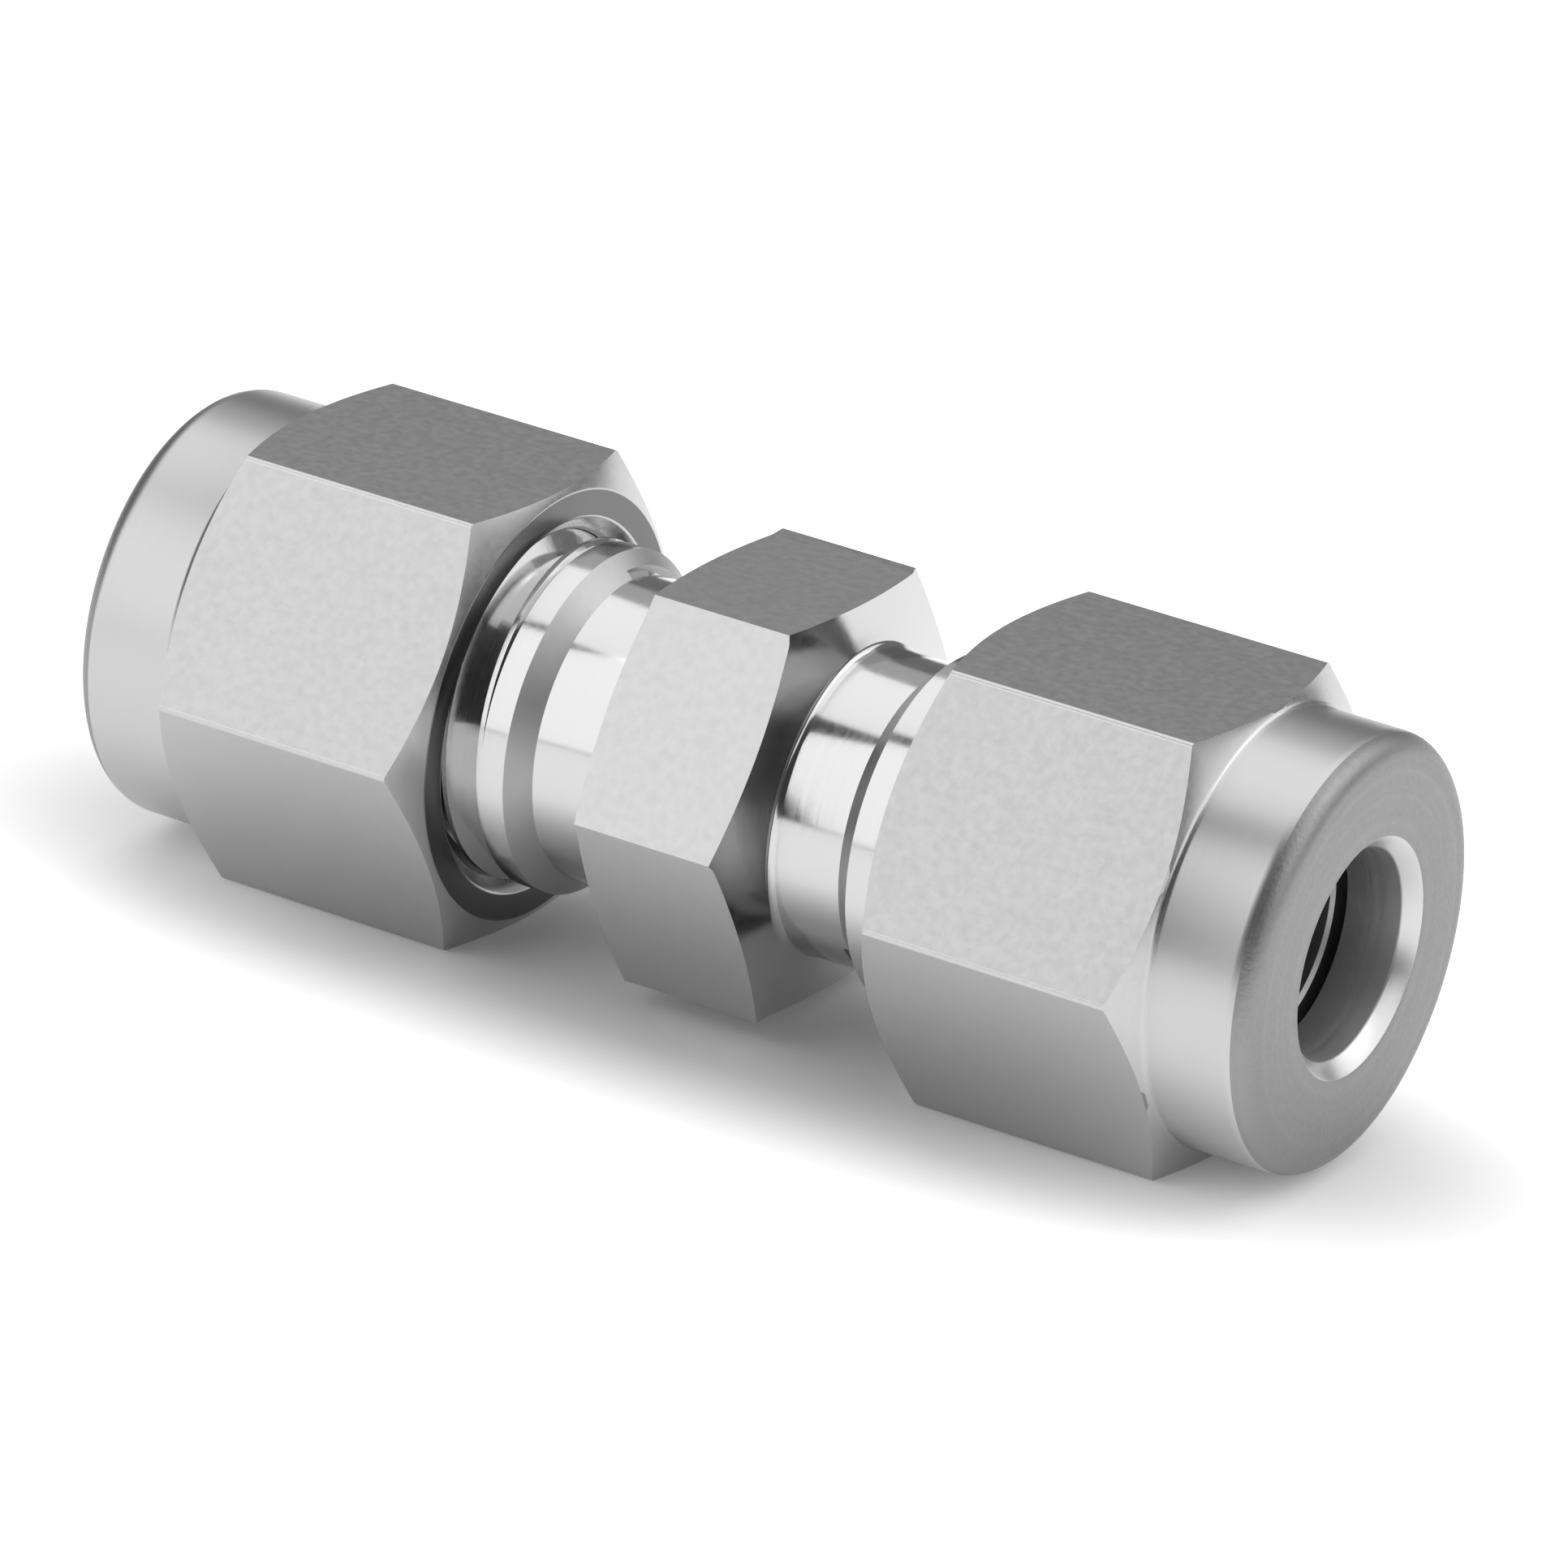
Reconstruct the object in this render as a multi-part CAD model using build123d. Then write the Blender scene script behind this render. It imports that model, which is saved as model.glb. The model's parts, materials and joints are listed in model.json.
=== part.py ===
"""Twin-ferrule compression tube union, lying on its nut flats.

The axis of the union is X, with +Z up, and the origin is midway between the ends of the body's hexagon.
Lengths are in millimetres. Each end is made with its nut finger-tight, then backed off along its thread.
"""
from build123d import *

import os
from math import cos, radians, sin, sqrt, tan

# Tube that the fitting is made for, and how far each nut is off the thread
tube_diameter = 6.35
thread_pitch = 1.27
right_turns_off = 0.24
left_turns_off = 0.57

# Clearances
tube_room_in_socket = 0.075
tube_room_in_ferrule = 0.05
tube_room_in_nut = 0.165
thread_room = 0.05
ferrule_room = 0.22
seat_room = 0.03

# Slope of the seats where the back ferrule meets the front ferrule and the nut
bevel_deg = 45.0

# Union body: its hexagon stands proud of the thread, and comes to 12.7 mm (1/2 in) across the flats
body_hexagon_rise = 0.795
body_flat_length = 5.36
body_cone_deg = 15.0
body_turn_deg = -1.5
neck_depth = 0.655
neck_end = 5.5
neck_root_radius = 0.2
thread_lead_rise_deg = 45.0
body_half_length = 13.1
body_end_chamfer = 0.55
socket_shoulder = 5.26
flow_bore_diameter = 4.8
mouth_cone_deg = 20.0
mouth_lip = 0.07
mouth_wall = 1.005

# Ferrules
ferrule_wall = 1.255
front_ferrule_length = 5.2
front_ferrule_nose_wall = 0.35
front_ferrule_bevel_rim = 0.38
back_ferrule_length = 2.63
back_ferrule_tip_wall = 0.25
back_ferrule_nose_wall = 0.62
back_ferrule_flange_length = 1.25
back_ferrule_flange_slope = 0.3
back_ferrule_corner = 0.18
ferrule_edge = 0.12

# Nuts: the wall is over the thread at the middle of a flat, and makes them 14.29 mm (9/16 in) across the flats
nut_wall = 1.53875
nut_flat_length = 9.46
nut_cone_deg = 28.0
nut_face_land = 0.2
nut_length = 13.15
nose_step = 0.22
nose_round = 0.8
nose_root_radius = 0.15
nose_countersink = 0.48
nut_bore_length = 2.36
drive_bevel_depth = 0.35
chamber_length = 1.6
mouth_countersink = 0.45

# Both hexagons are cut from bar with lightly rounded corners
hex_corner_round = 0.2

# Radii and flats that follow, from the tube outwards to the 11.11 mm thread and the hexagons
tube_radius = tube_diameter / 2
socket_radius = tube_radius + tube_room_in_socket
ferrule_bore = tube_radius + tube_room_in_ferrule
ferrule_radius = ferrule_bore + ferrule_wall
mouth_radius = ferrule_radius + mouth_lip
mouth_slope = tan(radians(mouth_cone_deg))
thread_radius = mouth_radius + mouth_wall
neck_radius = thread_radius - neck_depth
body_flats = 2 * (thread_radius + body_hexagon_rise)
chamber_radius = ferrule_radius + ferrule_room
nut_thread_radius = thread_radius + thread_room
nut_bore_radius = tube_radius + tube_room_in_nut
nut_flats = 2 * (nut_thread_radius + nut_wall)
nose_radius = nut_flats / 2 - nose_step
bevel_slope = tan(radians(bevel_deg))

# Stack along the axis, finger-tight: mouth cone, front ferrule, back ferrule, drive bevel, face of the nut
front_nose_radius = ferrule_bore + front_ferrule_nose_wall
front_cone_gap = seat_room / cos(radians(mouth_cone_deg))
front_nose_x = body_half_length - (mouth_radius - front_cone_gap - front_nose_radius) / mouth_slope
front_rear_x = front_nose_x + front_ferrule_length
front_bevel_radius = ferrule_radius - front_ferrule_bevel_rim
front_bevel_foot_x = front_rear_x - (front_bevel_radius - ferrule_bore) / bevel_slope
bevel_gap_x = seat_room / sin(radians(bevel_deg))
back_tip_x = front_bevel_foot_x + back_ferrule_tip_wall / bevel_slope + bevel_gap_x
back_rear_x = back_tip_x + back_ferrule_length
drive_end_radius = ferrule_radius - back_ferrule_corner - drive_bevel_depth
drive_end_x = back_rear_x + drive_bevel_depth / bevel_slope + bevel_gap_x
nut_face_x = drive_end_x + nut_bore_length


def turned(*outline, crown_radius=None):
    """Solid turned about X from the (x, radius) corners of its half section.

    Sides that touch the crown radius are the cones on the ends of a hexagon. They are one-span splines, so
    that they cut the flats in splines too, and not in hyperbolas, on which a distance search can overflow.
    """
    sides = []
    for start, end in zip(outline, [*outline[1:], outline[0]]):
        on_crown = crown_radius in (start[1], end[1])
        sides.append(Bezier(start, end) if on_crown else Line(start, end))
    return revolve(make_face(sides), Axis.X)


def hex_bar(flats, half_length, turn_deg=0.0):
    """Hexagon bar along X, lying on a flat before it is turned."""
    section = RegularPolygon(flats / 2, 6, major_radius=False, rotation=turn_deg)
    section = fillet(section.vertices(), hex_corner_round)
    return extrude(Plane.YZ * section, half_length, both=True)


def hex_crown(flats):
    """Radius that clears the corners of a hexagon bar."""
    return flats / sqrt(3) + hex_corner_round


def ring_edge(solid, x, radius):
    """The full circle about X that lies nearest to the given place and radius."""
    circles = solid.edges().filter_by(GeomType.CIRCLE)
    return circles.sort_by(lambda edge: abs(edge.arc_center.X - x) + abs(edge.radius - radius))[0]


def cone_x(flat_x, flats, radius, cone_deg, facing=1):
    """Place along X where an end cone has the given radius; it meets the flats' inner circle at flat_x."""
    return flat_x + facing * (flats / 2 - radius) * tan(radians(cone_deg))


def union_body():
    """The body: hexagon, two necks, two threads, cone mouths, tube sockets and flow bore."""
    crown_radius = hex_crown(body_flats)
    flat_x = body_flat_length / 2
    neck_x = cone_x(flat_x, body_flats, neck_radius, body_cone_deg)
    thread_x = neck_end + (thread_radius - neck_radius) / tan(radians(thread_lead_rise_deg))
    cone_foot_x = body_half_length - (mouth_radius - socket_radius) / mouth_slope
    half = [
        (cone_x(flat_x, body_flats, crown_radius, body_cone_deg), crown_radius),
        (neck_x, neck_radius),
        (neck_end, neck_radius),
        (thread_x, thread_radius),
        (body_half_length - body_end_chamfer, thread_radius),
        (body_half_length, thread_radius - body_end_chamfer),
        (body_half_length, mouth_radius),
        (cone_foot_x, socket_radius),
        (socket_shoulder, socket_radius),
        (socket_shoulder, flow_bore_diameter / 2),
    ]
    other_half = [(-x, radius) for x, radius in reversed(half)]
    blank = turned(*half, *other_half, crown_radius=crown_radius)
    roots = [ring_edge(blank, side * neck_x, neck_radius) for side in (-1, 1)]
    blank = fillet(roots, neck_root_radius)
    return blank & hex_bar(body_flats, body_half_length, body_turn_deg)


def front_ferrule():
    """Ring with a cone nose for the mouth of the body and a bevel behind for the back ferrule."""
    cone_top_x = front_nose_x + (ferrule_radius - front_nose_radius) / mouth_slope
    ring = turned(
        (front_nose_x, ferrule_bore),
        (front_nose_x, front_nose_radius),
        (cone_top_x, ferrule_radius),
        (front_rear_x - ferrule_edge, ferrule_radius),
        (front_rear_x, ferrule_radius - ferrule_edge),
        (front_rear_x, front_bevel_radius),
        (front_bevel_foot_x, ferrule_bore),
    )
    return ring


def back_ferrule():
    """Flanged ring whose nose enters the front ferrule's bevel; the nut pushes on its rear corner."""
    tip_radius = ferrule_bore + back_ferrule_tip_wall
    nose_wall_radius = ferrule_bore + back_ferrule_nose_wall
    flange_x = back_rear_x - back_ferrule_flange_length
    ring = turned(
        (back_tip_x, ferrule_bore),
        (back_tip_x, tip_radius),
        (back_tip_x + (nose_wall_radius - tip_radius) / bevel_slope, nose_wall_radius),
        (flange_x - back_ferrule_flange_slope, nose_wall_radius),
        (flange_x, ferrule_radius),
        (back_rear_x - back_ferrule_corner / bevel_slope, ferrule_radius),
        (back_rear_x, ferrule_radius - back_ferrule_corner),
        (back_rear_x, ferrule_bore + ferrule_edge),
        (back_rear_x - ferrule_edge, ferrule_bore),
    )
    return ring


def nut():
    """Nut run up finger-tight on the right-hand end."""
    crown_radius = hex_crown(nut_flats)
    thread_face_x = nut_face_x - nut_length
    land_radius = nut_flats / 2 - nut_face_land
    flat_start_x = thread_face_x + nut_face_land * tan(radians(nut_cone_deg))
    flat_end_x = flat_start_x + nut_flat_length
    root_x = cone_x(flat_end_x, nut_flats, nose_radius, nut_cone_deg)
    drive_start_x = drive_end_x - (chamber_radius - drive_end_radius) / bevel_slope
    chamber_x = drive_start_x - chamber_length
    thread_end_x = chamber_x - (nut_thread_radius - chamber_radius)
    thread_lead = min(mouth_countersink, (land_radius - nut_thread_radius) / 2)
    blank = turned(
        (thread_face_x, land_radius),
        (cone_x(flat_start_x, nut_flats, crown_radius, nut_cone_deg, -1), crown_radius),
        (cone_x(flat_end_x, nut_flats, crown_radius, nut_cone_deg), crown_radius),
        (root_x, nose_radius),
        (nut_face_x, nose_radius),
        (nut_face_x, nut_bore_radius + nose_countersink),
        (nut_face_x - nose_countersink, nut_bore_radius),
        (drive_end_x, nut_bore_radius),
        (drive_end_x, drive_end_radius),
        (drive_start_x, chamber_radius),
        (chamber_x, chamber_radius),
        (thread_end_x, nut_thread_radius),
        (thread_face_x + thread_lead, nut_thread_radius),
        (thread_face_x, nut_thread_radius + thread_lead),
        crown_radius=crown_radius,
    )
    blank = fillet(ring_edge(blank, nut_face_x, nose_radius), nose_round)
    blank = fillet(ring_edge(blank, root_x, nose_radius), nose_root_radius)
    return blank & hex_bar(nut_flats, nut_face_x)


def on_side(side, solid):
    """Back a right-hand piece off along the thread, and turn it round for the left-hand end."""
    turns = right_turns_off if side == "right" else left_turns_off
    backed_off = Pos(turns * thread_pitch, 0, 0) * solid
    return backed_off if side == "right" else Rot(0, 0, 180) * backed_off


pieces = {"union_body": union_body()}
for side in ("right", "left"):
    pieces[f"{side}_nut"] = on_side(side, nut())
    pieces[f"{side}_front_ferrule"] = on_side(side, front_ferrule())
    pieces[f"{side}_back_ferrule"] = on_side(side, back_ferrule())

os.makedirs("parts", exist_ok=True)
for node, solid in pieces.items():
    export_step(solid, f"parts/{node}.step")
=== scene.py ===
# %% [markdown]
# # A compression tube union in Blender
#
# The object joins two tubes in line. A hexagon body carries a thread at each end, and a nut runs on each
# thread. Inside, two ferrules sit in the body's mouth and grip the tube as the nut is tightened.
# The CAD model holds the sizes, so the scene starts from it and only adds what the CAD leaves out:
# the cut threads, the broken edges and the finish of the steel.

import json
from math import cos, hypot, pi, radians, sin, sqrt, tan

import bmesh
import bpy
from mathutils import Matrix, Vector

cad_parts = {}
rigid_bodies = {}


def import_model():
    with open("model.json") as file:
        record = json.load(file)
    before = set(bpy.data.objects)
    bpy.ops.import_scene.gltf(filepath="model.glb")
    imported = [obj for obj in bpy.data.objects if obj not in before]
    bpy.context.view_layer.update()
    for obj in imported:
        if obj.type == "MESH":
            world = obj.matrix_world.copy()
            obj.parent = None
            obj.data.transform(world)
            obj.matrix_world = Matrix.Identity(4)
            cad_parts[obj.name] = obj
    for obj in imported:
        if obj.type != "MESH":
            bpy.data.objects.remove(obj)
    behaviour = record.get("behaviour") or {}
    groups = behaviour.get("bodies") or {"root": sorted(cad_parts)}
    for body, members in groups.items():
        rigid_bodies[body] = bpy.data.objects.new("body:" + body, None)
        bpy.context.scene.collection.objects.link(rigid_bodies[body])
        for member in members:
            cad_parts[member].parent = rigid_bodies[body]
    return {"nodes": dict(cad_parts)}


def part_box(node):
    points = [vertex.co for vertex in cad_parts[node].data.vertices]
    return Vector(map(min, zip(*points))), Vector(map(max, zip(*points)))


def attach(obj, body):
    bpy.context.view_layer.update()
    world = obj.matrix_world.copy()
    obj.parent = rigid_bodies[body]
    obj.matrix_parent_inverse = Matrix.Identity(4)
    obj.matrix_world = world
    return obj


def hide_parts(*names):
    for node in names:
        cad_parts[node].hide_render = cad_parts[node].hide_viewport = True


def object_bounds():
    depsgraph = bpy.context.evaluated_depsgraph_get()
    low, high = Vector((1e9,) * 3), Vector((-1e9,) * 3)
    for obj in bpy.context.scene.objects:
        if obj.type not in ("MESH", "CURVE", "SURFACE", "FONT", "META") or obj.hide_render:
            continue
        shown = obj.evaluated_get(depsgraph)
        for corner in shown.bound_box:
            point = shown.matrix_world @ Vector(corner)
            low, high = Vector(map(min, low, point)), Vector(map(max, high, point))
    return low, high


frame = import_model()
cad_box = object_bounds()
MM = 0.001
print("CAD box in mm:", [[round(v / MM, 2) for v in corner] for corner in cad_box])

# %% [markdown]
# ## The camera
#
# The picture was taken with a long lens, which is why the two nuts look almost the same size. A long lens
# is copied by a long focal length at the matching distance, not by moving a wide one closer. The camera
# stands 30 degrees to the right of square-on and 23 degrees above, and is rolled a little.

# %% Camera
AZIMUTH, ELEVATION, ROLL = radians(29.986), radians(23.325), radians(4.472)
CAMERA_PLACE = Vector((157.374, -271.814, 135.147)) * MM
FRAME_PIXELS = 1932
FOCAL_PIXELS = 13734
SENSOR_MM = 36

ahead = Vector((-sin(AZIMUTH) * cos(ELEVATION), cos(AZIMUTH) * cos(ELEVATION), -sin(ELEVATION)))
level_right = ahead.cross(Vector((0, 0, 1))).normalized()
level_up = level_right.cross(ahead)
right = level_right * cos(ROLL) + level_up * sin(ROLL)
up = level_up * cos(ROLL) - level_right * sin(ROLL)

bpy.ops.object.camera_add(location=CAMERA_PLACE)
camera = bpy.context.object
camera.rotation_euler = Matrix((right, up, -ahead)).transposed().to_euler()
camera.data.sensor_width = SENSOR_MM
camera.data.lens = FOCAL_PIXELS / FRAME_PIXELS * SENSOR_MM
camera.data.clip_start, camera.data.clip_end = 0.01, 50
bpy.context.scene.camera = camera
print("Lens in mm:", round(camera.data.lens, 1))

# %% [markdown]
# ## Helpers for materials
#
# A material is a small chain of nodes. One helper empties a new material, and one adds a node: it sets the
# node's own choices and its sockets by name, and joins the sockets that take another node's output.

# %% Material helpers


def deselect():
    """Nothing selected and nothing active, so that an operator acts only on what is added next."""
    bpy.ops.object.select_all(action="DESELECT")
    bpy.context.view_layer.objects.active = None


def shader_nodes(name):
    """A new material with its node list emptied, and its output node."""
    material = bpy.data.materials.new(name)
    material.use_nodes = True
    nodes = material.node_tree.nodes
    nodes.clear()
    return material, nodes, material.node_tree.links, nodes.new("ShaderNodeOutputMaterial")


def add_node(nodes, kind, links=None, **settings):
    """Add a shader node. links gives the source of each joined socket; an underscore in a name is a space."""
    made = nodes.new("ShaderNode" + kind)
    for key, value in settings.items():
        if hasattr(made, key):
            setattr(made, key, value)
        else:
            made.inputs[key.replace("_", " ")].default_value = value
    for socket, source in (links or {}).items():
        made.id_data.links.new(source, made.inputs[socket])
    return made


# %% [markdown]
# ## The floor
#
# The floor is a plain white sheet. Part of its white is its own light, for rays that come from the camera or
# from a shiny surface. So it looks white without any more light on the steel. The own light fades out under
# the object, within a long oval that lies along the union. That is a painted shadow, laid over the real
# shadow that the soft boxes cast there.

# %% Floor
FLOOR_SIZE = 12.0
FLOOR_GREY = 0.90
OWN_LIGHT_UNDER, OWN_LIGHT_AROUND = 0.06, 0.62
SHADOW_START, SHADOW_END = 5 * MM, 13 * MM
SHADOW_SQUEEZE = 0.35

deselect()
bpy.ops.mesh.primitive_plane_add(size=FLOOR_SIZE, location=(0, 0, cad_box[0].z))
floor = bpy.context.object
floor.name = "studio_floor"
paper, nodes, links, output = shader_nodes("white_paper")
diffuse = add_node(nodes, "BsdfDiffuse", Color=(FLOOR_GREY, FLOOR_GREY, FLOOR_GREY, 1))
rays = add_node(nodes, "LightPath").outputs
seen = add_node(nodes, "Math", {0: rays["Is Camera Ray"], 1: rays["Is Glossy Ray"]}, operation="MAXIMUM")
seen_through = add_node(
    nodes, "Math", {0: seen.outputs[0], 1: rays["Is Transmission Ray"]}, operation="MAXIMUM")
place = add_node(nodes, "TexCoord").outputs["Object"]
oval = add_node(nodes, "Mapping", {"Vector": place}, Scale=(SHADOW_SQUEEZE, 1, 1))
distance = add_node(nodes, "VectorMath", {0: oval.outputs[0]}, operation="LENGTH")
# Painted shadow: inside the oval round the object the own light drops from OWN_LIGHT_AROUND to
# OWN_LIGHT_UNDER.
outwards = add_node(
    nodes, "MapRange", {"Value": distance.outputs["Value"]}, interpolation_type="SMOOTHSTEP",
    From_Min=SHADOW_START, From_Max=SHADOW_END, To_Min=OWN_LIGHT_UNDER, To_Max=OWN_LIGHT_AROUND)
own_light = add_node(
    nodes, "Math", {0: seen_through.outputs[0], 1: outwards.outputs[0]}, operation="MULTIPLY")
glow = add_node(nodes, "Emission", {"Strength": own_light.outputs[0]})
both = add_node(nodes, "AddShader", {0: diffuse.outputs[0], 1: glow.outputs[0]})
links.new(both.outputs[0], output.inputs["Surface"])
floor.data.materials.append(paper)
print("Floor at", round(floor.location.z / MM, 2), "mm")

# %% [markdown]
# ## The room
#
# Steel has no colour of its own to speak of: it shows the room. So the room is the main part of its look.
# Here it is a dim grey room, darker in front than behind. The floor and other matte things hardly see it:
# they are lit by the soft boxes.

# %% Room
FRONT_GREY, BACK_GREY = 0.06, 0.21
FRONT_END, BACK_END = -0.75, 0.35
DIFFUSE_SHARE = 0.12

world = bpy.data.worlds.new("grey_room")
bpy.context.scene.world = world
world.use_nodes = True
nodes, links = world.node_tree.nodes, world.node_tree.links
direction = add_node(nodes, "SeparateXYZ", {0: add_node(nodes, "TexCoord").outputs["Generated"]})
room_grey = add_node(
    nodes, "MapRange", {"Value": direction.outputs["Y"]}, interpolation_type="SMOOTHSTEP",
    From_Min=FRONT_END, From_Max=BACK_END, To_Min=FRONT_GREY, To_Max=BACK_GREY)
is_diffuse = add_node(nodes, "LightPath").outputs["Is Diffuse Ray"]
fill = add_node(nodes, "MapRange", {"Value": is_diffuse}, To_Min=1.0, To_Max=DIFFUSE_SHARE)
links.new(room_grey.outputs[0], nodes["Background"].inputs["Color"])
links.new(fill.outputs[0], nodes["Background"].inputs["Strength"])
print("Room grey from", FRONT_GREY, "in front to", BACK_GREY, "behind")

# %% [markdown]
# ## The soft boxes
#
# A wide soft box hangs overhead, one stands in front on the left, one on the right, and a weak card stands
# behind. Each is given by how bright its face is, on one scale for all four, and the power of the lamp
# follows from that and its size.

# %% Soft boxes


def soft_box(name, azimuth, elevation, distance, size, radiance):
    """An area lamp that faces the object, seen from it at these angles; azimuth is from +X towards +Y."""
    flat_distance = distance * cos(radians(elevation))
    place = Vector((
        flat_distance * cos(radians(azimuth)),
        flat_distance * sin(radians(azimuth)),
        distance * sin(radians(elevation))))
    deselect()
    bpy.ops.object.light_add(type="AREA", location=place)
    lamp = bpy.context.object
    lamp.name = name
    lamp.data.shape = "RECTANGLE"
    lamp.data.size, lamp.data.size_y = size
    lamp.data.energy = radiance * pi * size[0] * size[1]
    lamp.rotation_euler = place.to_track_quat("Z", "Y").to_euler()
    lamp.visible_camera = False
    print(name, "power in watts:", round(lamp.data.energy, 2))


soft_box("overhead_box", azimuth=90, elevation=77.5, distance=0.75, size=(1.5, 0.75), radiance=1.3)
soft_box("back_card", azimuth=90, elevation=40, distance=0.8, size=(1.6, 0.30), radiance=0.36)
soft_box("front_box", azimuth=228, elevation=29, distance=1.0, size=(0.81, 1.08), radiance=1.5)
soft_box("right_box", azimuth=25, elevation=33, distance=0.9, size=(1.7, 0.60), radiance=1.2)

bpy.context.scene.view_settings.view_transform = "Standard"

# %% [markdown]
# ## Turned stock
#
# Every piece of the union is turned from bar. The same is done here: a circle of edges is drawn round the
# axis, then extruded from corner to corner of the half section, which is given as (x, radius) pairs, and
# the last ring is joined to the first. A spin would do as well, but the circle keeps the number of facets
# and their angles in hand, so that the corners of the hexagons fall between two facets.

# %% Lathe helpers
FACETS = 240
RING_WELD = 0.0005
NEAR = 0.004


def edit(obj):
    """obj alone, in edit mode, with everything deselected."""
    deselect()
    obj.select_set(True)
    bpy.context.view_layer.objects.active = obj
    bpy.ops.object.mode_set(mode="EDIT")
    bpy.ops.mesh.select_all(action="DESELECT")


def done():
    """Back to object mode."""
    bpy.ops.object.mode_set(mode="OBJECT")


def turned(name, outline):
    """A closed ring turned about X from the (x, radius) corners of its half section, in mm."""
    start_x, start_radius = outline[0]
    deselect()
    bpy.ops.mesh.primitive_circle_add(
        vertices=FACETS, radius=start_radius * MM, location=(start_x * MM, 0, 0), rotation=(0, pi / 2, 0))
    obj = bpy.context.object
    obj.name = obj.data.name = name
    bpy.ops.object.transform_apply(location=True, rotation=True, scale=True)
    bpy.ops.object.mode_set(mode="EDIT")
    bpy.ops.mesh.select_all(action="SELECT")
    bpy.ops.transform.rotate(value=pi / FACETS, orient_axis="X", center_override=(0, 0, 0))
    x, radius = start_x, start_radius
    for next_x, next_radius in [*outline[1:], outline[0]]:
        bpy.ops.mesh.extrude_edges_move()
        growth = next_radius / radius
        bpy.ops.transform.resize(value=(1, growth, growth), center_override=(x * MM, 0, 0))
        bpy.ops.transform.translate(value=((next_x - x) * MM, 0, 0))
        x, radius = next_x, next_radius
    bpy.ops.mesh.select_all(action="SELECT")
    bpy.ops.mesh.remove_doubles(threshold=RING_WELD * MM)
    bpy.ops.mesh.normals_make_consistent(inside=False)
    done()
    return obj


def ring_radius(point):
    """Distance of a point from the axis, in mm."""
    return hypot(point.y, point.z) / MM


def pick_edges(obj, wanted):
    """In edit mode, select the edges for which wanted(first end, second end) is true."""
    mesh = bmesh.from_edit_mesh(obj.data)
    picked = [edge for edge in mesh.edges if wanted(edge.verts[0].co, edge.verts[1].co)]
    for edge in picked:
        edge.select_set(True)
    bmesh.update_edit_mesh(obj.data)
    return len(picked)


def round_ring(obj, x, radius, width, segments=3):
    """Round the full ring of edges at (x, radius) with a bevel, all in mm."""

    def on_ring(*ends):
        return all(abs(end.x / MM - x) < NEAR and abs(ring_radius(end) - radius) < NEAR for end in ends)

    edit(obj)
    count = pick_edges(obj, on_ring)
    bpy.ops.mesh.bevel(offset=width * MM, segments=segments, affect="EDGES", clamp_overlap=True)
    done()
    print("  rounded", count, "edges at", round(x, 2), round(radius, 2))


# %% [markdown]
# ## Hexagons
#
# A maker turns the cones on the ends of hexagon bar, and the flats are what is left of the bar. In mesh work
# it is easier the other way round: the piece is turned over-size, and six cuts with a plane leave the
# flats. The curved edges where the flats meet the cones then come by themselves.

# %% Cutting flats
HEX_CORNER_ROUND = 0.2
BEVEL_FOR_ROUND = tan(radians(30))
CORNER_SEGMENTS = 4
CUT_WELD = 0.01
CORNER_NEAR = 0.04


def cut_flats(obj, flats, turn_deg):
    """Cut six flats on a turned piece, and round the corners between them a little."""
    edit(obj)
    for side in range(6):
        angle = radians(30 + 60 * side + turn_deg)
        outwards = Vector((0, cos(angle), sin(angle)))
        bpy.ops.mesh.select_all(action="SELECT")
        bpy.ops.mesh.bisect(
            plane_co=outwards * flats / 2 * MM, plane_no=outwards, use_fill=True, clear_outer=True)
    bpy.ops.mesh.select_all(action="SELECT")
    bpy.ops.mesh.remove_doubles(threshold=CUT_WELD * MM)
    bpy.ops.mesh.select_all(action="DESELECT")
    corner = flats / sqrt(3)

    def on_corner(*ends):
        at_corner = all(abs(ring_radius(end) - corner) < CORNER_NEAR for end in ends)
        return at_corner and abs(ends[0].x - ends[1].x) > MM

    pick_edges(obj, on_corner)
    bpy.ops.mesh.bevel(
        offset=HEX_CORNER_ROUND * BEVEL_FOR_ROUND * MM, segments=CORNER_SEGMENTS,
        affect="EDGES", clamp_overlap=True)
    done()


# %% [markdown]
# ## Threads
#
# A screw thread is cut by a tool that follows a helix, so the cutter is modelled and taken out of the
# blank. The cutter is the shape of one groove, swept by the Screw modifier. Near the neck a real die leaves
# the thread shallower and shallower, because its first teeth are bevelled: here a cone is taken off the
# cutter first, and the groove runs out along it. The nut has the same helix as a ridge on its inner wall.

# %% Helix helpers
PITCH = 1.27
STEPS_A_TURN = 72
THREAD_TURNS = 7


def helix(name, section, start_x, turns, phase_x):
    """A right-hand helical bar about X. section is its (x, radius) outline; it crosses +Y at phase_x."""
    deselect()
    angle = 2 * pi * (start_x - phase_x) / PITCH
    points = [Vector((start_x + x, radius, 0)) * MM for x, radius in section]
    bpy.ops.mesh.primitive_circle_add(vertices=len(section), radius=MM, fill_type="NGON")
    bar = bpy.context.object
    bar.name = bar.data.name = name
    for vertex, point in zip(bar.data.vertices, points):
        vertex.co = Matrix.Rotation(angle, 3, "X") @ point
    screw = bar.modifiers.new("Screw", "SCREW")
    screw.axis = "X"
    screw.angle = 2 * pi
    screw.screw_offset = PITCH * MM
    screw.iterations = turns
    screw.steps = screw.render_steps = STEPS_A_TURN
    screw.use_merge_vertices = False
    screw.use_normal_calculate = True
    bpy.ops.object.modifier_apply(modifier="Screw")
    return bar


def capped(bar):
    """Close the two ends of a helical bar."""
    edit(bar)
    bpy.ops.mesh.select_all(action="SELECT")
    bpy.ops.mesh.fill_holes(sides=0)
    bpy.ops.mesh.select_all(action="SELECT")
    bpy.ops.mesh.normals_make_consistent(inside=False)
    done()
    return bar


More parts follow.
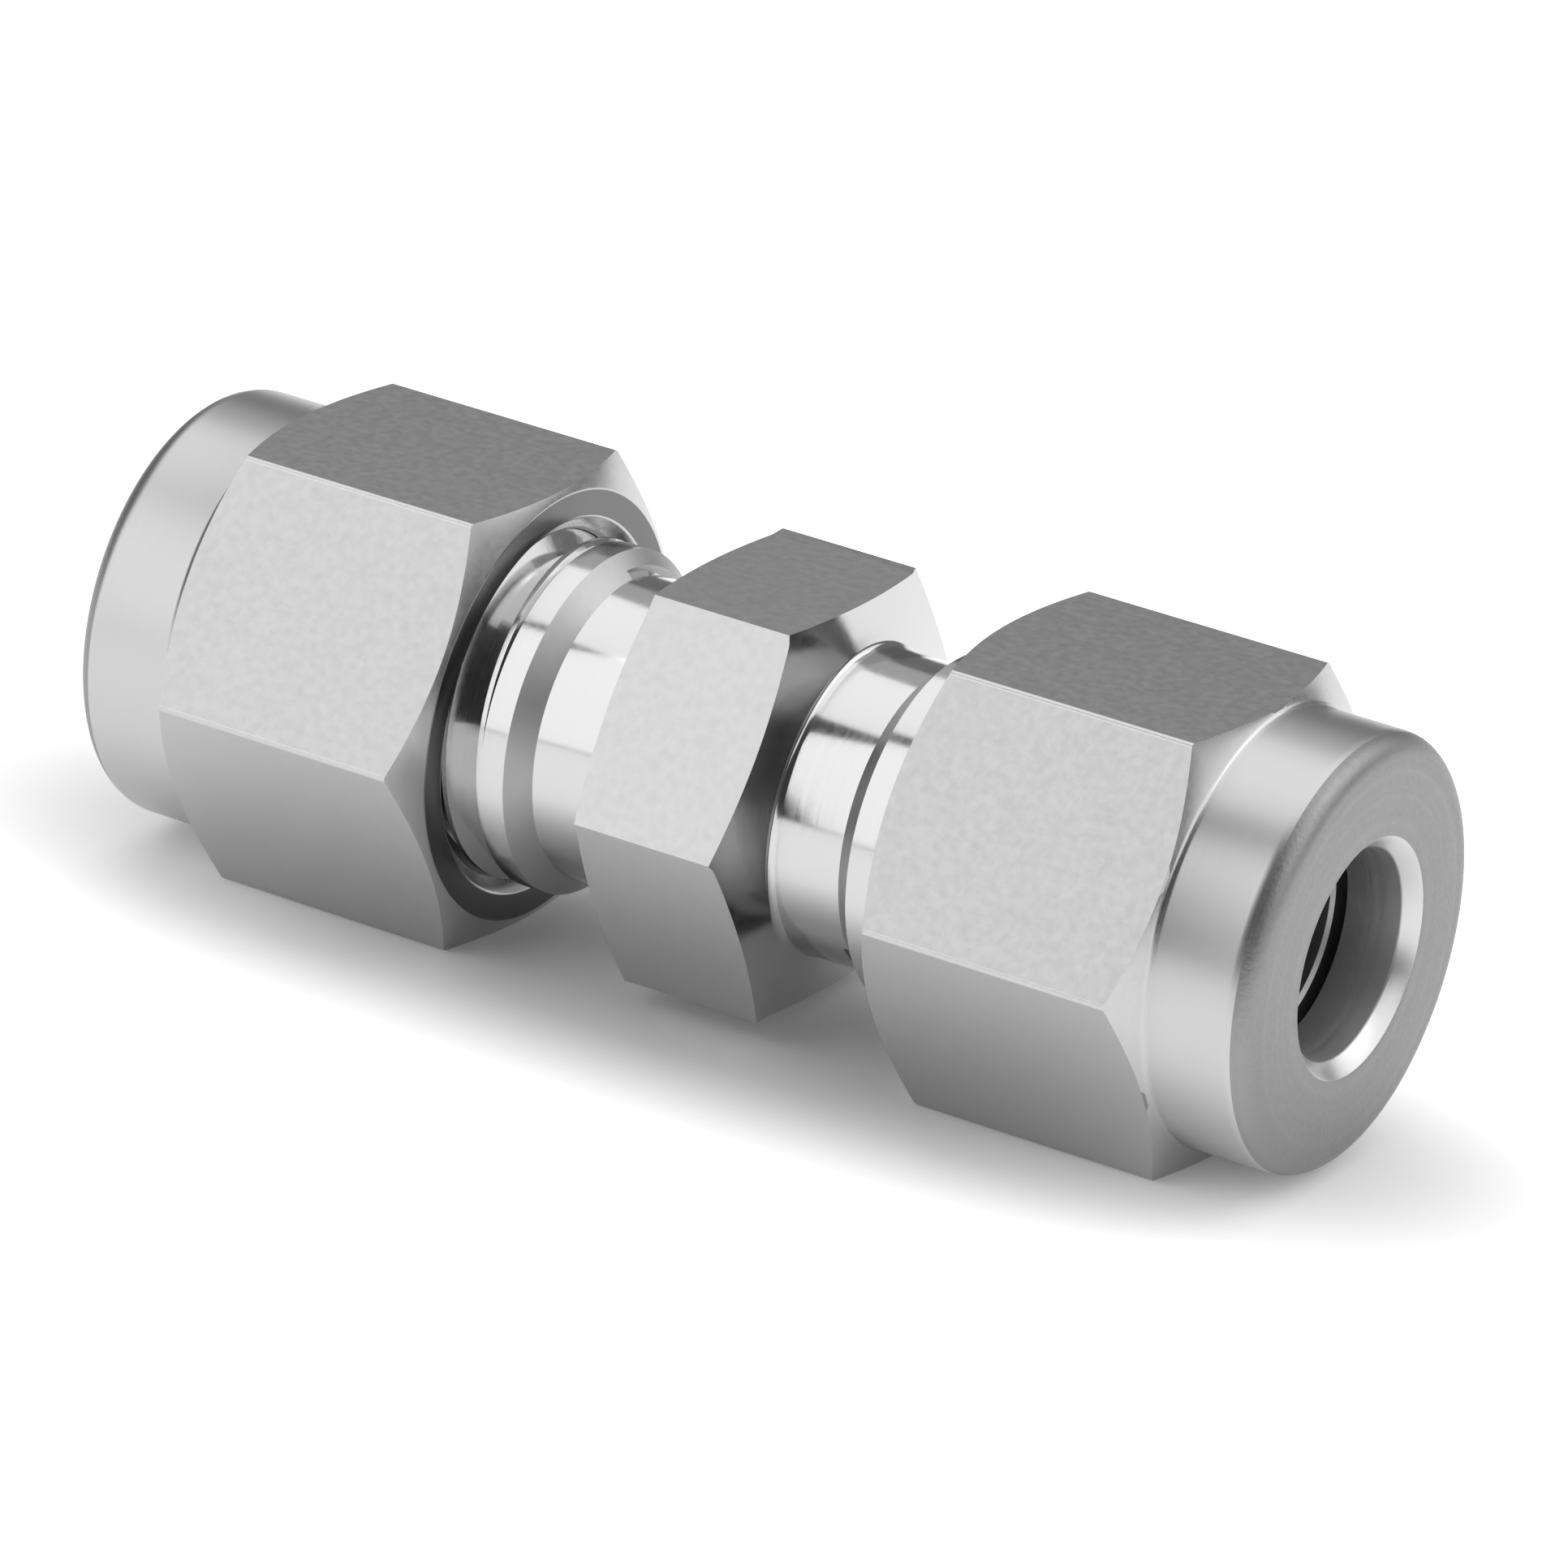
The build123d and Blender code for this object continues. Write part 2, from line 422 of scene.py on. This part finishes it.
def combine(obj, other, operation):
    """Join or cut obj with another closed piece, which is then thrown away."""
    deselect()
    bpy.context.view_layer.objects.active = obj
    boolean = obj.modifiers.new("Boolean", "BOOLEAN")
    boolean.operation = operation
    boolean.solver = "EXACT"
    boolean.object = other
    bpy.ops.object.modifier_apply(modifier="Boolean")
    bpy.data.objects.remove(other)
    return obj


# %% [markdown]
# ## Sizes
#
# The places of the nuts come from the CAD boxes, and the other sizes are the ones the CAD was made with,
# apart from the groove's and the ridge's, which are those of a 7/16-20 thread with some room between them.
# All are in millimetres. The left-hand groove is set where the photograph shows it. One nut is modelled and
# copied for both ends, so the right-hand groove follows from where the copy's thread lies.

# %% Sizes
BODY_FLATS, BODY_TURN_DEG, BODY_CONE = 12.7, -1.5, tan(radians(15))
BODY_FLAT_END, BODY_END = 2.68, 13.1
NECK_RADIUS, NECK_END, NECK_ROUND = 4.9, 5.5, 0.2
THREAD_RADIUS, THREAD_START, END_CHAMFER = 5.555, 6.155, 0.55
ROOT_RADIUS, ROOT_HALF_WIDTH, FLANK_SLOPE = 4.805, 0.12, tan(radians(30))
RUNOUT_START, RUNOUT_END = 7.0, 8.4
MOUTH_RADIUS, CONE_FOOT, SOCKET_RADIUS, SHOULDER, FLOW_RADIUS = 4.55, 9.528, 3.25, 5.26, 2.4
NUT_FLATS, NUT_CONE = 14.2875, tan(radians(28))
NUT_LAND, NUT_FLAT_LENGTH, NOSE_STEP, NOSE_ROUND, NOSE_ROOT_ROUND = 0.2, 9.46, 0.22, 0.8, 0.15
NUT_THREAD_RADIUS, RIDGE_RADIUS, RIDGE_HALF_WIDTH = 5.605, 4.95, 0.165
BORE_RADIUS, BORE_LENGTH, NOSE_COUNTERSINK, MOUTH_COUNTERSINK = 3.34, 2.36, 0.48, 0.45
CHAMBER_RADIUS, CHAMBER_LENGTH, DRIVE_RADIUS = 4.7, 1.6, 3.95
EDGE_BREAK = 0.05
CUTTER_PROUD, RIDGE_SUNK = 0.07, 0.03

nut_mouth, right_nut_face = (corner.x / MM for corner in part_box("right_nut"))
left_nut_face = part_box("left_nut")[0].x / MM
LEFT_GROOVE_PHASE = -8.33
right_groove_phase = right_nut_face + left_nut_face - LEFT_GROOVE_PHASE - PITCH / 2
print("Nut faces at", round(left_nut_face, 2), round(right_nut_face, 2))
print("Right-hand groove at", round(right_groove_phase, 3))

# %% [markdown]
# ## The body
#
# One piece of steel: a short hexagon for the spanner, a neck on each side, the threads, and inside each end
# a cone mouth for the ferrule, a socket for the tube and the flow bore right through.

# %% Body


def body_cone_x(radius):
    """Where the end cone of the body's hexagon has this radius."""
    return BODY_FLAT_END + (BODY_FLATS / 2 - radius) * BODY_CONE


crown = BODY_FLATS / sqrt(3) + HEX_CORNER_ROUND
neck_x = body_cone_x(NECK_RADIUS)
body_half = [
    (body_cone_x(crown), crown),
    (neck_x, NECK_RADIUS),
    (NECK_END, NECK_RADIUS),
    (THREAD_START, THREAD_RADIUS),
    (BODY_END - END_CHAMFER, THREAD_RADIUS),
    (BODY_END, THREAD_RADIUS - END_CHAMFER),
    (BODY_END, MOUTH_RADIUS),
    (CONE_FOOT, SOCKET_RADIUS),
    (SHOULDER, SOCKET_RADIUS),
    (SHOULDER, FLOW_RADIUS),
]
body = turned("threaded_body", [*body_half, *[(-x, radius) for x, radius in reversed(body_half)]])
for side in (-1, 1):
    round_ring(body, side * neck_x, NECK_RADIUS, NECK_ROUND, segments=5)
    round_ring(body, side * BODY_END, MOUTH_RADIUS, EDGE_BREAK)
    round_ring(body, side * BODY_END, THREAD_RADIUS - END_CHAMFER, EDGE_BREAK)
cut_flats(body, BODY_FLATS, BODY_TURN_DEG)
print("Body blank:", len(body.data.polygons), "faces")

# %% [markdown]
# ## The body's threads
#
# Each end has its own cutter. It stands a little proud of the thread's crest, so that the cut goes clean
# through, and the cone of the run-out is taken off it before it cuts the body.

# %% Body threads


def groove_width(radius):
    """Half the width of the groove at this radius."""
    return ROOT_HALF_WIDTH + (radius - ROOT_RADIUS) * FLANK_SLOPE


def groove_cutter(side, phase_x):
    """What the die takes off one end of the body."""
    above = THREAD_RADIUS + CUTTER_PROUD
    section = [
        (-groove_width(above), above), (-ROOT_HALF_WIDTH, ROOT_RADIUS),
        (ROOT_HALF_WIDTH, ROOT_RADIUS), (groove_width(above), above)]
    first_x = NECK_END if side > 0 else -BODY_END - PITCH
    cutter = capped(helix("groove_cutter", section, first_x, THREAD_TURNS, phase_x))
    slope = (THREAD_RADIUS - ROOT_RADIUS) / (RUNOUT_END - RUNOUT_START)
    low_x, high_x = RUNOUT_START - PITCH, RUNOUT_END + PITCH / 4
    outline = [(x, THREAD_RADIUS - (x - RUNOUT_START) * slope) for x in (low_x, high_x)]
    outline += [(high_x, SOCKET_RADIUS), (low_x, SOCKET_RADIUS)]
    runout_cone = turned("runout_cone", [(side * x, radius) for x, radius in outline])
    return combine(cutter, runout_cone, "DIFFERENCE")


combine(body, groove_cutter(1, right_groove_phase), "DIFFERENCE")
combine(body, groove_cutter(-1, LEFT_GROOVE_PHASE), "DIFFERENCE")
print("Threaded body:", len(body.data.polygons), "faces")

# %% [markdown]
# ## The nuts
#
# A nut is the same hexagon work with a round nose. Inside, the drive bevel at the end of the chamber pushes
# on the back ferrule. The edges of the mouth and of the bore are rounded a little before the flats are cut.

# %% Nut
flat_start = nut_mouth + NUT_LAND * NUT_CONE
flat_end = flat_start + NUT_FLAT_LENGTH
nose_radius = NUT_FLATS / 2 - NOSE_STEP
nose_root = flat_end + NOSE_STEP * NUT_CONE
crown = NUT_FLATS / sqrt(3) + HEX_CORNER_ROUND
crown_rise = (crown - NUT_FLATS / 2) * NUT_CONE
bore_end = right_nut_face - BORE_LENGTH
drive_start = bore_end - (CHAMBER_RADIUS - DRIVE_RADIUS)
chamber_start = drive_start - CHAMBER_LENGTH
thread_end = chamber_start - (NUT_THREAD_RADIUS - CHAMBER_RADIUS)
right_nut = turned("right_hex_nut", [
    (nut_mouth, NUT_FLATS / 2 - NUT_LAND),
    (flat_start + crown_rise, crown),
    (flat_end - crown_rise, crown),
    (nose_root, nose_radius),
    (right_nut_face, nose_radius),
    (right_nut_face, BORE_RADIUS + NOSE_COUNTERSINK),
    (right_nut_face - NOSE_COUNTERSINK, BORE_RADIUS),
    (bore_end, BORE_RADIUS),
    (bore_end, DRIVE_RADIUS),
    (drive_start, CHAMBER_RADIUS),
    (chamber_start, CHAMBER_RADIUS),
    (thread_end, NUT_THREAD_RADIUS),
    (nut_mouth + MOUTH_COUNTERSINK, NUT_THREAD_RADIUS),
    (nut_mouth, NUT_THREAD_RADIUS + MOUTH_COUNTERSINK),
])
round_ring(right_nut, right_nut_face, nose_radius, NOSE_ROUND, segments=10)
round_ring(right_nut, nose_root, nose_radius, NOSE_ROOT_ROUND, segments=4)
round_ring(right_nut, right_nut_face, BORE_RADIUS + NOSE_COUNTERSINK, EDGE_BREAK)
round_ring(right_nut, right_nut_face - NOSE_COUNTERSINK, BORE_RADIUS, EDGE_BREAK)
round_ring(right_nut, nut_mouth, NUT_FLATS / 2 - NUT_LAND, EDGE_BREAK)
round_ring(right_nut, nut_mouth, NUT_THREAD_RADIUS + MOUTH_COUNTERSINK, EDGE_BREAK)
cut_flats(right_nut, NUT_FLATS, 0)
print("Nut blank:", len(right_nut.data.polygons), "faces")

# %% [markdown]
# ## The nut's thread
#
# The thread is a ridge here: it is swept, trimmed by the countersink of the mouth, and joined to the inner
# wall, in which its foot is sunk a little.

# %% Nut thread
foot = NUT_THREAD_RADIUS + RIDGE_SUNK
ridge_foot = RIDGE_HALF_WIDTH + (foot - RIDGE_RADIUS) * FLANK_SLOPE
ridge_section = [
    (-ridge_foot, foot),
    (-RIDGE_HALF_WIDTH, RIDGE_RADIUS),
    (RIDGE_HALF_WIDTH, RIDGE_RADIUS),
    (ridge_foot, foot),
]
ridge = capped(helix("nut_ridge", ridge_section, nut_mouth - PITCH / 2, THREAD_TURNS, right_groove_phase))
lead_in = nut_mouth + NUT_THREAD_RADIUS + MOUTH_COUNTERSINK
CLEAR_OF_RIDGE = 1.2 * PITCH
low_x, high_x = nut_mouth - CLEAR_OF_RIDGE, nut_mouth + PITCH
countersink = turned("countersink", [
    (low_x, lead_in - low_x),
    (high_x, lead_in - high_x),
    (high_x, BORE_RADIUS),
    (low_x, BORE_RADIUS),
])
ridge = combine(ridge, countersink, "DIFFERENCE")
combine(right_nut, ridge, "UNION")
print("Threaded nut:", len(right_nut.data.polygons), "faces")

# %% [markdown]
# ## Shading
#
# No machined edge is truly sharp: the rounds that catch the light were put on with the sections above. Here
# the curved faces are smoothed and the edges that turn by more than 28 degrees stay crisp. Normals weighted
# by area keep the flats flat. The finished nut is then copied, and turned round for the left-hand end.

# %% Finish the meshes
SMOOTH_BELOW = radians(28)
LARGEST_FACE_RULES = 100


def smooth_faces(obj):
    """Smooth shading that keeps the sharp edges, with the flats kept flat."""
    deselect()
    obj.select_set(True)
    bpy.context.view_layer.objects.active = obj
    bpy.ops.object.shade_smooth_by_angle(angle=SMOOTH_BELOW)
    weighted = obj.modifiers.new("Weighted normals", "WEIGHTED_NORMAL")
    weighted.keep_sharp = True
    weighted.weight = LARGEST_FACE_RULES
    bpy.ops.object.modifier_apply(modifier=weighted.name)


smooth_faces(body)
smooth_faces(right_nut)
left_nut = right_nut.copy()
left_nut.data = right_nut.data.copy()
left_nut.name = left_nut.data.name = "left_hex_nut"
bpy.context.scene.collection.objects.link(left_nut)
across = Matrix.Translation(Vector(((left_nut_face + right_nut_face) * MM, 0, 0)))
left_nut.data.transform(across @ Matrix.Rotation(pi, 4, "Z"))
print("Shaded:", body.name, right_nut.name, left_nut.name)

# %% [markdown]
# ## Hand the pieces over
#
# Each piece takes the place of its CAD node and rides on the body that moves it. The edges that don't have
# just two faces are counted and printed.

# %% Hand over


def open_edges(obj):
    """How many edges don't lie between two faces."""
    count = {}
    for face in obj.data.polygons:
        for key in face.edge_keys:
            count[key] = count.get(key, 0) + 1
    return sum(1 for n in count.values() if n != 2)


for piece, body_name, node, slot in (
    (body, "body", "union_body", "body_steel"),
    (right_nut, "right_nut", "right_nut", "nut_steel"),
    (left_nut, "left_nut", "left_nut", "nut_steel"),
):
    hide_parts(node)
    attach(piece, body_name)
    print(piece.name, "faces", len(piece.data.polygons), "open edges", open_edges(piece))

# %% [markdown]
# ## Steel
#
# All the pieces are the same stainless steel, and the finishes differ in their tool marks, their roughness
# and their grey. A turning tool leaves fine rings, which are made from the place along the axis plus part of
# the distance from it, so that they run over cylinders, cones and faces alike. The flats keep the fine grain
# of the bar. The marks go into the bump and a little into the roughness, never into the colour. Some of the
# greys are painted light and shade: the very dark land round a nut's mouth and the darker face of the nose
# are painted shade for the dark surroundings they reflect, and the lighter bores are painted light.

# %% Steel
RINGS_PER_METRE = 4500
RING_SLANT = 0.73
NOISE_DETAIL = 3
NOISE_LOW, NOISE_HIGH = 0.3, 0.7


def steel(name, grey, roughness, spread, ring_height, grain_height, grain_size, ring_share=0.5):
    """Steel with turned rings and a fine grain, in mm; spread is how far the roughness varies."""
    material, nodes, links, output = shader_nodes(name)
    place = add_node(nodes, "TexCoord").outputs["Object"]
    axes = add_node(nodes, "SeparateXYZ", {0: place}).outputs
    y_square, z_square = (
        add_node(nodes, "Math", {0: axes[axis], 1: axes[axis]}, operation="MULTIPLY").outputs[0]
        for axis in "YZ")
    total = add_node(nodes, "Math", {0: y_square, 1: z_square}, operation="ADD").outputs[0]
    out_from_axis = add_node(nodes, "Math", {0: total}, operation="SQRT").outputs[0]
    along = add_node(nodes, "Math", {0: out_from_axis, 2: axes["X"]}, operation="MULTIPLY_ADD")
    along.inputs[1].default_value = RING_SLANT
    rings = add_node(
        nodes, "TexNoise", noise_dimensions="1D", Scale=RINGS_PER_METRE, Detail=NOISE_DETAIL)
    links.new(along.outputs[0], rings.inputs["W"])
    grain = add_node(nodes, "TexNoise", {"Vector": place}, Scale=1 / (grain_size * MM), Detail=NOISE_DETAIL)
    ring_bump = add_node(nodes, "Bump", {"Height": rings.outputs["Fac"]}, Distance=ring_height * MM)
    grain_bump = add_node(
        nodes, "Bump", {"Height": grain.outputs["Fac"], "Normal": ring_bump.outputs[0]},
        Distance=grain_height * MM)
    mixed = add_node(nodes, "Mix", {2: grain.outputs["Fac"], 3: rings.outputs["Fac"]})
    mixed.inputs[0].default_value = ring_share
    rough = add_node(
        nodes, "MapRange", {"Value": mixed.outputs[0]}, From_Min=NOISE_LOW, From_Max=NOISE_HIGH,
        To_Min=roughness - spread, To_Max=roughness + spread)
    metal = add_node(
        nodes, "BsdfPrincipled", {"Normal": grain_bump.outputs[0], "Roughness": rough.outputs[0]},
        Base_Color=(grey, grey, grey, 1), Metallic=1)
    links.new(metal.outputs[0], output.inputs["Surface"])
    return material


finishes = {
    "bar_flat": steel(
        "bar_flat_steel", grey=0.48, roughness=0.33, spread=0.04,
        ring_height=0, grain_height=0.003, grain_size=0.3, ring_share=0),
    "small_bar_flat": steel(
        "small_bar_flat_steel", grey=0.52, roughness=0.33, spread=0.03,
        ring_height=0, grain_height=0.002, grain_size=0.3, ring_share=0),
    "turned": steel(
        "turned_steel", grey=0.50, roughness=0.24, spread=0.05,
        ring_height=0.0015, grain_height=0.0005, grain_size=0.2),
    "nose": steel(
        "nose_turned_steel", grey=0.50, roughness=0.33, spread=0.02,
        ring_height=0.001, grain_height=0, grain_size=0.2),
    "countersunk": steel(
        "countersunk_steel", grey=0.60, roughness=0.32, spread=0.03,
        ring_height=0.001, grain_height=0, grain_size=0.2),
    # Painted shade: a very dark grey on the land round a nut's mouth, which stands in for a dark reflection.
    "painted_shade_land": steel(
        "mouth_land_steel", grey=0.15, roughness=0.30, spread=0.02,
        ring_height=0.0005, grain_height=0, grain_size=0.2),
    "bright": steel(
        "bright_turned_steel", grey=0.55, roughness=0.14, spread=0.03,
        ring_height=0.0006, grain_height=0, grain_size=0.2),
    "thread_lead": steel(
        "thread_lead_steel", grey=0.42, roughness=0.42, spread=0.04,
        ring_height=0.001, grain_height=0.001, grain_size=0.2),
    # Painted shade: the darker grey of the nose face stands in for the shaded floor that it reflects.
    "matte": steel(
        "matte_turned_steel", grey=0.29, roughness=0.46, spread=0.08,
        ring_height=0.008, grain_height=0.012, grain_size=0.14),
    # Painted light: the bores are a lighter grey than the other steel, which brightens them inside.
    "bore": steel(
        "bored_steel", grey=0.60, roughness=0.50, spread=0.05,
        ring_height=0.003, grain_height=0.001, grain_size=0.2),
    "ferrule": steel(
        "ferrule_steel", grey=0.35, roughness=0.42, spread=0.05,
        ring_height=0.001, grain_height=0.001, grain_size=0.2),
}
print("Finishes:", ", ".join(finishes))

# %% [markdown]
# ## Which face gets which finish
#
# The finish goes by where a face is and which way it looks. The flats are bar stock, the body's turned parts
# are bright, and the cone that leads into its thread is rougher. On a nut, the face of the nose is matte and
# given a darker grey as painted shade, its side and the countersink are satin, and the flat land round the
# mouth is painted dark, a painted dark reflection. Bores are rougher, and a lighter grey as painted light.

# %% Finishes by face
CLOSE, ON_FLAT = 0.02, 0.03
SQUARE_TO_AXIS, SLOPED, FACING_ALONG = 0.01, 0.6, 0.99
FLAT_OVERRUN = 0.5
MATTE_DEPTH, LAND_DEPTH = 0.6, 0.1
FLAT_FROM_FACE = 3
nut_length = right_nut_face - nut_mouth
nose_length = right_nut_face - nose_root


def finish(piece, finish_of):
    """Give each face of a piece the finish that finish_of(centre in mm, normal) names."""
    piece.data.materials.clear()
    names = list(finishes)
    for name in names:
        piece.data.materials.append(finishes[name])
    for face in piece.data.polygons:
        face.material_index = names.index(finish_of(face.center / MM, face.normal))


def is_flat(centre, normal, flats):
    """True for the flats of a hexagon: their normals cross the axis, and they lie half the flats from it."""
    depth = centre.y * normal.y + centre.z * normal.z
    return abs(normal.x) < SQUARE_TO_AXIS and abs(depth - flats / 2) < ON_FLAT


def body_finish(centre, normal):
    """The finish of the body's face at this centre."""
    radius = hypot(centre.y, centre.z)
    if is_flat(centre, normal, BODY_FLATS) and abs(centre.x) < BODY_FLAT_END + FLAT_OVERRUN:
        return "small_bar_flat"
    if NECK_END < abs(centre.x) < THREAD_START and abs(normal.x) > SLOPED and radius > NECK_RADIUS:
        return "thread_lead"
    return "bore" if radius < MOUTH_RADIUS + CLOSE else "bright"


def nut_finish(centre, normal):
    """The finish of a nut's face at this centre, for either nut."""
    radius = hypot(centre.y, centre.z)
    back_from_face = min(abs(right_nut_face - centre.x), abs(left_nut_face - centre.x))
    if is_flat(centre, normal, NUT_FLATS) and back_from_face > FLAT_FROM_FACE:
        return "bar_flat"
    # The face of the nose gets the matte finish, whose darker grey is painted shade.
    if back_from_face < MATTE_DEPTH and radius > BORE_RADIUS + NOSE_COUNTERSINK:
        return "matte"
    if back_from_face < NOSE_COUNTERSINK and radius > BORE_RADIUS:
        return "countersunk"
    if radius < NUT_THREAD_RADIUS + CLOSE:
        return "bore"
    # The land round the mouth gets the very dark grey, a painted shade.
    if back_from_face > nut_length - LAND_DEPTH and abs(normal.x) > FACING_ALONG:
        return "painted_shade_land"
    return "nose" if back_from_face < nose_length else "turned"


finish(body, body_finish)
finish(right_nut, nut_finish)
finish(left_nut, nut_finish)
for name, ferrule in frame["nodes"].items():
    if "ferrule" in name:
        ferrule.data.materials[0] = finishes["ferrule"]
print("Faces finished:", sum(len(piece.data.polygons) for piece in (body, right_nut, left_nut)))
